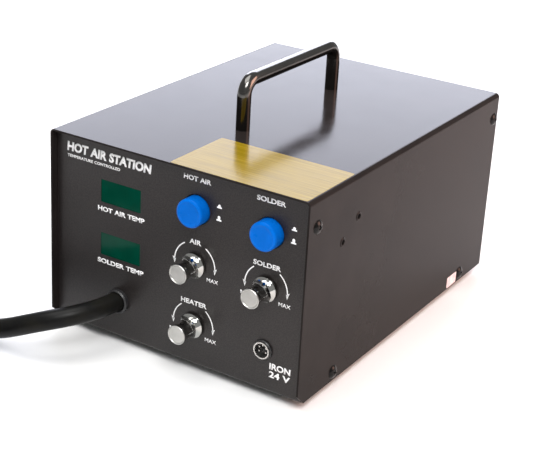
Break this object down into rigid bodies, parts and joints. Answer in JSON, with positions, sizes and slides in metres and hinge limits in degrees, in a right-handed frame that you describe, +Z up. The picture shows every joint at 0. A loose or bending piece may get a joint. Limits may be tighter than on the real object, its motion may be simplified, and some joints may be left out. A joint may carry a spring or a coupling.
{
  "type": "hot air station",
  "caption": "Bench hot air station in a black sheet-metal case with a carrying handle, two displays, push buttons, chromed knobs and a hose to a hot air handpiece.",
  "frame": {"origin": "on the bench, under the centre of the case", "axes": "+Z up, the front panel faces -Y, +X to the right of someone facing the front panel"},
  "size_m": [0.3312, 0.4559, 0.1708],
  "materials": {
    "chassis_steel": "black powder coat",
    "panel_paint": "fine satin black-brown paint",
    "cover_paint": "fine-textured semi-gloss black paint",
    "handle_black": "gloss black",
    "black_screw": "blackened",
    "zinc_screw": "zinc plated",
    "black_rubber": "matte",
    "display_green": "dark green tinted, glossy",
    "dark_plastic": "moulded",
    "circuit_board": "solder mask",
    "white_plastic": "moulded",
    "blue_plastic": "semi-gloss",
    "steel": "nickel plated",
    "chrome": "polished with a satin face",
    "hose_rubber": "smooth satin",
    "clear_tube": "milky",
    "core_iron": "laminated, varnished",
    "winding": "copper wire under yellow tape",
    "aluminium": "cast and machined",
    "glass": "clear",
    "grip_plastic": "fine moulded texture",
    "stainless": "brushed",
    "ceramic": "unglazed ceramic"
  },
  "bodies": {
    "root": {"air_hose": "hose_rubber", "air_hose_coil": "hose_rubber", "air_potentiometer": "steel", "base_pan": "chassis_steel", "board_components": "dark_plastic", "board_standoffs": "white_plastic", "carry_handle": "handle_black", "cover_screws": "black_screw", "display_board": "circuit_board", "display_modules": "dark_plastic", "display_windows": "display_green", "feet_screws": "zinc_screw", "front_panel": "panel_paint", "handle_screws": "zinc_screw", "handpiece_barrel": "stainless", "handpiece_boot": "black_rubber", "handpiece_shell_left": "grip_plastic", "handpiece_shell_right": "grip_plastic", "heater_core": "ceramic", "heater_potentiometer": "steel", "hose_bushing": "dark_plastic", "hose_union": "clear_tube", "hot_air_switch": "dark_plastic", "inlet_pins": "steel", "inner_air_tube": "clear_tube", "iron_potentiometer": "steel", "iron_socket_collar": "dark_plastic", "iron_socket_contacts": "steel", "iron_socket_insert": "dark_plastic", "iron_socket_shell": "steel", "iron_switch": "dark_plastic", "m3_screws": "zinc_screw", "main_board": "circuit_board", "mains_inlet": "dark_plastic", "panel_nuts": "zinc_screw", "pump_diaphragm": "black_rubber", "pump_electromagnet": "core_iron", "pump_housing": "aluminium", "pump_mounts": "black_rubber", "rear_panel": "chassis_steel", "rubber_feet": "black_rubber", "top_cover": "cover_paint", "transformer_bracket": "chassis_steel", "transformer_core": "core_iron", "transformer_winding": "winding", "triac_heatsink": "aluminium", "wire_harness": "white_plastic"},
    "hot_air_push": {"hot_air_button": "blue_plastic"},
    "iron_push": {"iron_button": "blue_plastic"},
    "air_dial": {"air_knob": "chrome", "air_knob_shaft": "steel"},
    "heater_dial": {"heater_knob": "chrome", "heater_knob_shaft": "steel"},
    "iron_dial": {"iron_knob": "chrome", "iron_knob_shaft": "steel"},
    "pump_arm": {"pump_armature": "core_iron"},
    "drawer": {"fuse_drawer": "dark_plastic", "fuse": "glass"},
    "tip": {"nozzle": "stainless"},
    "clamp": {"nozzle_clamp_screw": "steel"}
  },
  "joints": [
    {"name": "air_dial_turn", "type": "hinge", "parent": "root", "child": "air_dial", "pos_m": [0.014, -0.1225, 0.0722], "axis": [0, -1, 0], "range_deg": [-150, 150]},
    {"name": "heater_dial_turn", "type": "hinge", "parent": "root", "child": "heater_dial", "pos_m": [0.0143, -0.1225, 0.0321], "axis": [0, -1, 0], "range_deg": [-150, 150]},
    {"name": "iron_dial_turn", "type": "hinge", "parent": "root", "child": "iron_dial", "pos_m": [0.0646, -0.1225, 0.072], "axis": [0, -1, 0], "range_deg": [-150, 150]},
    {"name": "hot_air_button_press", "type": "slide", "parent": "root", "child": "hot_air_push", "axis": [0, 1, 0], "range_m": [0, 0.003], "stiffness_N_per_m": 700, "springref_m": -0.002},
    {"name": "iron_button_press", "type": "slide", "parent": "root", "child": "iron_push", "axis": [0, 1, 0], "range_m": [0, 0.003], "stiffness_N_per_m": 700, "springref_m": -0.002},
    {"name": "pump_arm_swing", "type": "hinge", "parent": "root", "child": "pump_arm", "pos_m": [-0.05, 0.028, 0.036], "axis": [0, 0, 1], "range_deg": [-1.2, 1.2], "stiffness_Nm_per_rad": 3, "deforming": ["pump_diaphragm"]},
    {"name": "fuse_drawer_slide", "type": "slide", "parent": "root", "child": "drawer", "axis": [0, 1, 0], "range_m": [0, 0.016]},
    {"name": "nozzle_slide", "type": "slide", "parent": "root", "child": "tip", "axis": [1, 0, 0], "range_m": [0, 0.02]},
    {"name": "clamp_screw_turn", "type": "hinge", "parent": "tip", "child": "clamp", "pos_m": [0.075, -0.3075, 0.0336], "axis": [0, -1, 0], "range_deg": [0, 540]}
  ]
}
